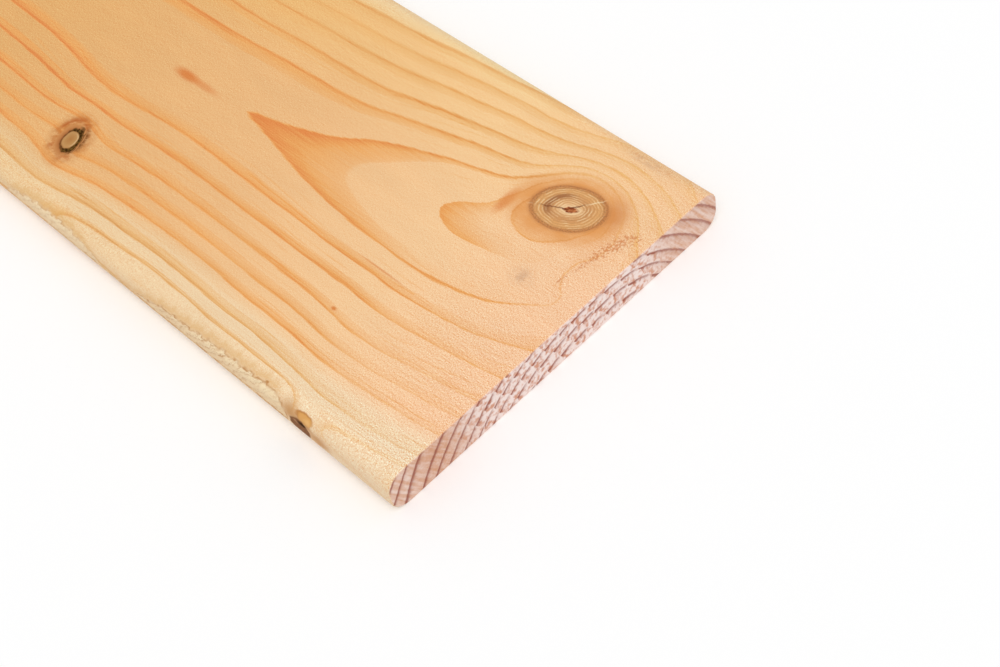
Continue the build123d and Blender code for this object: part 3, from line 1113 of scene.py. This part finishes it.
def plank_mesh(form):
    """The plank's surface: the section carried along the stations, and a grid of columns on each sawn end.

    Every point is then let in against its outward direction, where the wood is torn or a knot has shrunk.
    """
    points, outward, down, columns = outline(form)
    places = stations(form)
    loop = len(points)
    inset = np.ones((len(places), 1, 2))
    inset[[0, -1]] = 1 - form.arris / np.array([PLANK_SIZE.y / 2, PLANK_SIZE.z / 2])
    ring = points[None] * inset
    tube = np.concatenate([np.broadcast_to(places[:, None, None], (*ring.shape[:2], 1)), ring], axis=-1)
    side = np.concatenate([np.zeros((loop, 1)), outward], axis=1)
    levels = form.side_steps
    share = np.linspace(-1, 1, levels + 1)[1:-1, None]
    upper = ring[-1, :columns]
    inner = np.stack([np.broadcast_to(upper[None, 1:-1, 0], (levels - 1, columns - 2)),
                      share * upper[None, 1:-1, 1]], axis=-1).reshape(-1, 2)
    caps = [np.concatenate([np.full((len(inner), 1), x), inner], axis=1) for x in places[[0, -1]]]
    ends = [np.tile([(x, 0.0, 0.0)], (len(inner), 1)) for x in (-1.0, 1.0)]
    position = np.concatenate([tube.reshape(-1, 3), *caps])
    direction = np.concatenate([np.tile(side, (len(places), 1)), *ends])
    fall = np.concatenate([np.tile(down, len(places)), np.full(2 * len(inner), -1.0)])
    sawn = np.concatenate([np.repeat(np.isin(np.arange(len(places)), (0, len(places) - 1)), loop),
                           np.ones(2 * len(inner), bool)]).astype(float)
    position[:, 2] += PLANK_SIZE.z / 2
    along = (position[:, 0] - PLANK_SIZE.x / 2) / MM
    across = position[:, 1] / MM
    deep = (PLANK_SIZE.z - position[:, 2]) / MM
    knot, near = nearest_knot(along, across, deep)
    chip, depth, brow = tear(along, fall)
    radius = np.hypot(knot[:, 0], knot[:, 1])
    dead = knot[:, 2]
    depth = depth + DEAD_KNOT_SINK * dead * bell((radius - BARK_PLACE) / BARK_REACH)
    depth = depth + LIVE_KNOT_SINK * (1 - dead) * bell(radius / PITH_REACH)
    depth = np.where(sawn > 0, 0.0, depth)
    torn, stained = (patches(along, across, middles) for middles in (TORN_PATCHES, STAINS))
    data = {
        "ring": ring_number(along, across, deep),
        "pace": ring_pace(along, across, deep, direction),
        "fibre": np.stack([along, pushed_across(along, across, deep), deep], axis=-1),
        "knot": knot,
        "near": near,
        "pale": 1 - patches(along, across, PALE_PATCHES),
        "pits": np.where(deep < PITS_DEEPEST, pitted(along, across), 0.0),
        "brow": brow,
        "marks": np.stack([torn, stained, chip], axis=-1),
        "edge": np.stack([along, fall, sawn], axis=-1),
    }
    position -= direction * depth[:, None] * MM
    return position, plank_faces(len(places), loop, columns, levels), data


def plank_faces(rows, loop, columns, levels):
    """Four-sided faces: between neighbouring stations all the way round, and over each sawn end's grid."""
    row, step = np.meshgrid(np.arange(rows - 1), np.arange(loop), indexing="ij")
    here, after = row * loop + step, row * loop + (step + 1) % loop
    faces = [np.stack([here, here + loop, after + loop, after], axis=-1).reshape(-1, 4)]
    cell = np.arange((levels - 1) * (columns - 2)).reshape(levels - 1, columns - 2)
    for end, (first, offset) in enumerate(((0, rows * loop), ((rows - 1) * loop, rows * loop + cell.size))):
        grid = np.zeros((levels + 1, columns), int)
        grid[-1] = first + np.arange(columns)
        grid[1:-1, -1] = first + columns + np.arange(levels - 1)[::-1]
        grid[0] = first + columns + levels - 1 + np.arange(columns)[::-1]
        grid[1:-1, 0] = first + 2 * columns + levels - 1 + np.arange(levels - 1)
        grid[1:-1, 1:-1] = offset + cell
        quads = np.stack([grid[:-1, :-1], grid[:-1, 1:], grid[1:, 1:], grid[1:, :-1]], axis=-1).reshape(-1, 4)
        faces.append(quads if end else quads[:, ::-1])
    return np.concatenate(faces)


def mesh_object(name, position, faces, data):
    """A mesh object at the origin from whole arrays, with its point attributes."""
    mesh = bpy.data.meshes.new(name)
    mesh.vertices.add(len(position))
    mesh.vertices.foreach_set("co", position.astype(np.float32).ravel())
    mesh.loops.add(faces.size)
    mesh.loops.foreach_set("vertex_index", faces.astype(np.int32).ravel())
    mesh.polygons.add(len(faces))
    mesh.polygons.foreach_set("loop_start", np.arange(0, faces.size, faces.shape[1], dtype=np.int32))
    mesh.update(calc_edges=True)
    if mesh.validate():
        raise RuntimeError(f"{name} has faces that Blender had to mend")
    for key, values in data.items():
        kind, field = ("FLOAT", "value") if values.ndim == 1 else ("FLOAT_VECTOR", "vector")
        attribute = mesh.attributes.new(key, kind, "POINT")
        attribute.data.foreach_set(field, values.astype(np.float32).ravel())
    mesh.shade_smooth()
    mesh.set_sharp_from_angle(angle=SHARP_ANGLE)
    made = bpy.data.objects.new(name, mesh)
    bpy.context.scene.collection.objects.link(made)
    return made


# The square map for the plank's colours, in parts of its side. Each length of the plank has where it runs
# from and to, where it starts on the map, and its parts per millimetre. The near length has most of the
# figure and gets the most parts.
MAP_NAME = "OFBake"
MAP_SIDE = 1024
MAP_LENGTHS = ((-236, 0, 4, 502, 2.2), (-684, -236, 676, 506, 1.1), (-1056, -684, 4, 20, 1.1),
               (-1428, -1056, 345, 20, 1.1), (-1800, -1428, 686, 20, 1.1))
MAP_ENDS = ((4, 446), (434, 446))
MAP_END_SCALE = 3.0


def map_places(form, position, faces):
    """Each face corner's place on the map.

    The skin between the sawn ends is unrolled, with the way round the section to the right and the way along
    up, and cut into lengths. Each sawn end is laid beside them as it is seen.
    """
    points = outline(form)[0]
    steps = np.linalg.norm(np.roll(points, -1, axis=0) - points, axis=1) / MM
    around = np.concatenate([[0], np.cumsum(steps)])
    skin = (len(stations(form)) - 1) * len(points)
    step = np.arange(skin) % len(points)
    right = around[np.stack([step, step, step + 1, step + 1], axis=-1)]
    along = (position[faces[:skin], 0] - PLANK_SIZE.x / 2) / MM
    place = np.zeros((*faces.shape, 2))
    for low, high, start_right, start_up, scale in MAP_LENGTHS:
        inside = np.flatnonzero((along.mean(1) >= low) & (along.mean(1) < high))
        place[inside, :, 0] = start_right + right[inside] * scale
        place[inside, :, 1] = start_up + (high - along[inside]) * scale
    ends = np.split(np.arange(skin, len(faces)), 2)
    half = PLANK_SIZE.y / MM / 2
    for (start_right, start_up), side, part in zip(MAP_ENDS, (-1, 1), ends):
        spots = position[faces[part]] / MM
        place[part, :, 0] = start_right + (side * spots[..., 1] + half) * MAP_END_SCALE
        place[part, :, 1] = start_up + spots[..., 2] * MAP_END_SCALE
    return place / MAP_SIDE


class PLANK_OT_build(bpy.types.Operator):
    """Build the planed plank, with its rings, knots and torn edge"""
    bl_idname = "plank.build"
    bl_label = "Planed plank"

    def execute(self, context):
        form = context.scene.plank_form
        position, faces, data = plank_mesh(form)
        plank = mesh_object("planed_plank", position, faces, data)
        layer = plank.data.uv_layers.new(name=MAP_NAME, do_init=False)
        layer.uv.foreach_set("vector", map_places(form, position, faces).astype(np.float32).ravel())
        plank.data.materials.append(fir_material(context.scene.plank_colours))
        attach(plank, "root")
        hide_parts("plank")
        return {"FINISHED"}


# The view: where the camera stands from the near end's middle, in degrees and metres, and how many pixels
# that middle lies right of and below the picture's middle.
VIEW_AZIMUTH = -37.04
VIEW_ELEVATION = 52.15
VIEW_ROLL = -10.77
VIEW_DISTANCE = 0.50486
VIEW_RIGHT = 62.0
VIEW_BELOW = 11.1
VIEW_WIDTH = 1000
SENSOR_WIDTH = 36.0


def view_camera(stage):
    """The camera: it looks back along its azimuth and elevation, is rolled, and is moved to frame the end."""
    azimuth, elevation, roll = (math.radians(v) for v in (VIEW_AZIMUTH, VIEW_ELEVATION, VIEW_ROLL))
    back = np.array([math.cos(elevation) * math.cos(azimuth), math.cos(elevation) * math.sin(azimuth),
                     math.sin(elevation)])
    level = np.cross(-back, (0, 0, 1))
    level /= np.linalg.norm(level)
    upright = np.cross(level, -back)
    right = math.cos(roll) * level + math.sin(roll) * upright
    up = math.cos(roll) * upright - math.sin(roll) * level
    metre_per_pixel = VIEW_DISTANCE * SENSOR_WIDTH / (stage.lens * VIEW_WIDTH)
    end = np.array([PLANK_HIGH.x, 0, PLANK_SIZE.z / 2])
    place = end + VIEW_DISTANCE * back + metre_per_pixel * (VIEW_BELOW * up - VIEW_RIGHT * right)
    data = bpy.data.cameras.new("view")
    data.lens = stage.lens
    data.sensor_width = SENSOR_WIDTH
    data.sensor_fit = "HORIZONTAL"
    data.clip_start = 0.01
    camera = bpy.data.objects.new("view", data)
    pose = np.eye(4)
    pose[:3] = np.stack([right, up, back, place], axis=-1)
    camera.matrix_world = Matrix(pose)
    bpy.context.scene.collection.objects.link(camera)
    bpy.context.scene.camera = camera


def floor_material(stage):
    """Matt white painted floor, even and without gloss."""
    material = bpy.data.materials.new("matt_white_paint")
    material.use_nodes = True
    shader = material.node_tree.nodes["Principled BSDF"]
    shader.inputs["Base Color"].default_value = stage.floor_colour
    shader.inputs["Roughness"].default_value = 0.95
    shader.inputs["Specular IOR Level"].default_value = 0.0
    return material


class PLANK_OT_stage(bpy.types.Operator):
    """Lay the white floor and set up the soft light and the camera"""
    bl_idname = "plank.stage"
    bl_label = "Floor, light and view"

    def execute(self, context):
        stage = context.scene.plank_stage
        half = stage.floor_size / 2
        corners = np.array([(-half, -half, 0), (half, -half, 0), (half, half, 0), (-half, half, 0)])
        floor = mesh_object("white_floor", corners, np.array([[0, 1, 2, 3]]), {})
        floor.data.materials.append(floor_material(stage))
        world = bpy.data.worlds.new("white_surroundings")
        context.scene.world = world
        world.use_nodes = True
        world.node_tree.nodes.clear()
        add = partial(add_node, world.node_tree)
        seen = add("LightPath", out="Is Camera Ray")
        strength = add("MapRange", seen, 0.0, 1.0, stage.world_strength, 1.0)
        sky = add("Background", linear("#ffffff"), strength)
        add("OutputWorld", sky)
        data = bpy.data.lights.new("soft_sun", "SUN")
        data.energy = stage.sun_strength
        data.angle = stage.sun_spread
        lamp = bpy.data.objects.new("soft_sun", data)
        lamp.rotation_euler = stage.sun_turn
        context.scene.collection.objects.link(lamp)
        view_camera(stage)
        context.scene.view_settings.view_transform = "Standard"
        return {"FINISHED"}


class PLANK_PT_panel(bpy.types.Panel):
    """The plank's sizes, colours and building steps"""
    bl_idname = "PLANK_PT_panel"
    bl_label = "Planed plank"
    bl_space_type = "VIEW_3D"
    bl_region_type = "UI"
    bl_category = "Plank"

    def draw(self, context):
        for operator, group in STEPS:
            box = self.layout.box()
            box.operator(operator)
            for name in group:
                settings = getattr(context.scene, name)
                for key in settings.__annotations__:
                    box.prop(settings, key)


STEPS = (("plank.build", ("plank_form", "plank_colours")), ("plank.stage", ("plank_stage",)))
CLASSES = (PlankForm, PlankColours, StageForm, PLANK_OT_build, PLANK_OT_stage, PLANK_PT_panel)


def register():
    for kind in CLASSES:
        bpy.utils.register_class(kind)
    bpy.types.Scene.plank_form = PointerProperty(type=PlankForm)
    bpy.types.Scene.plank_colours = PointerProperty(type=PlankColours)
    bpy.types.Scene.plank_stage = PointerProperty(type=StageForm)


def unregister():
    del bpy.types.Scene.plank_stage
    del bpy.types.Scene.plank_colours
    del bpy.types.Scene.plank_form
    for kind in reversed(CLASSES):
        bpy.utils.unregister_class(kind)


def main():
    register()
    bpy.ops.plank.build()
    bpy.ops.plank.stage()


if __name__ == "__main__":
    main()
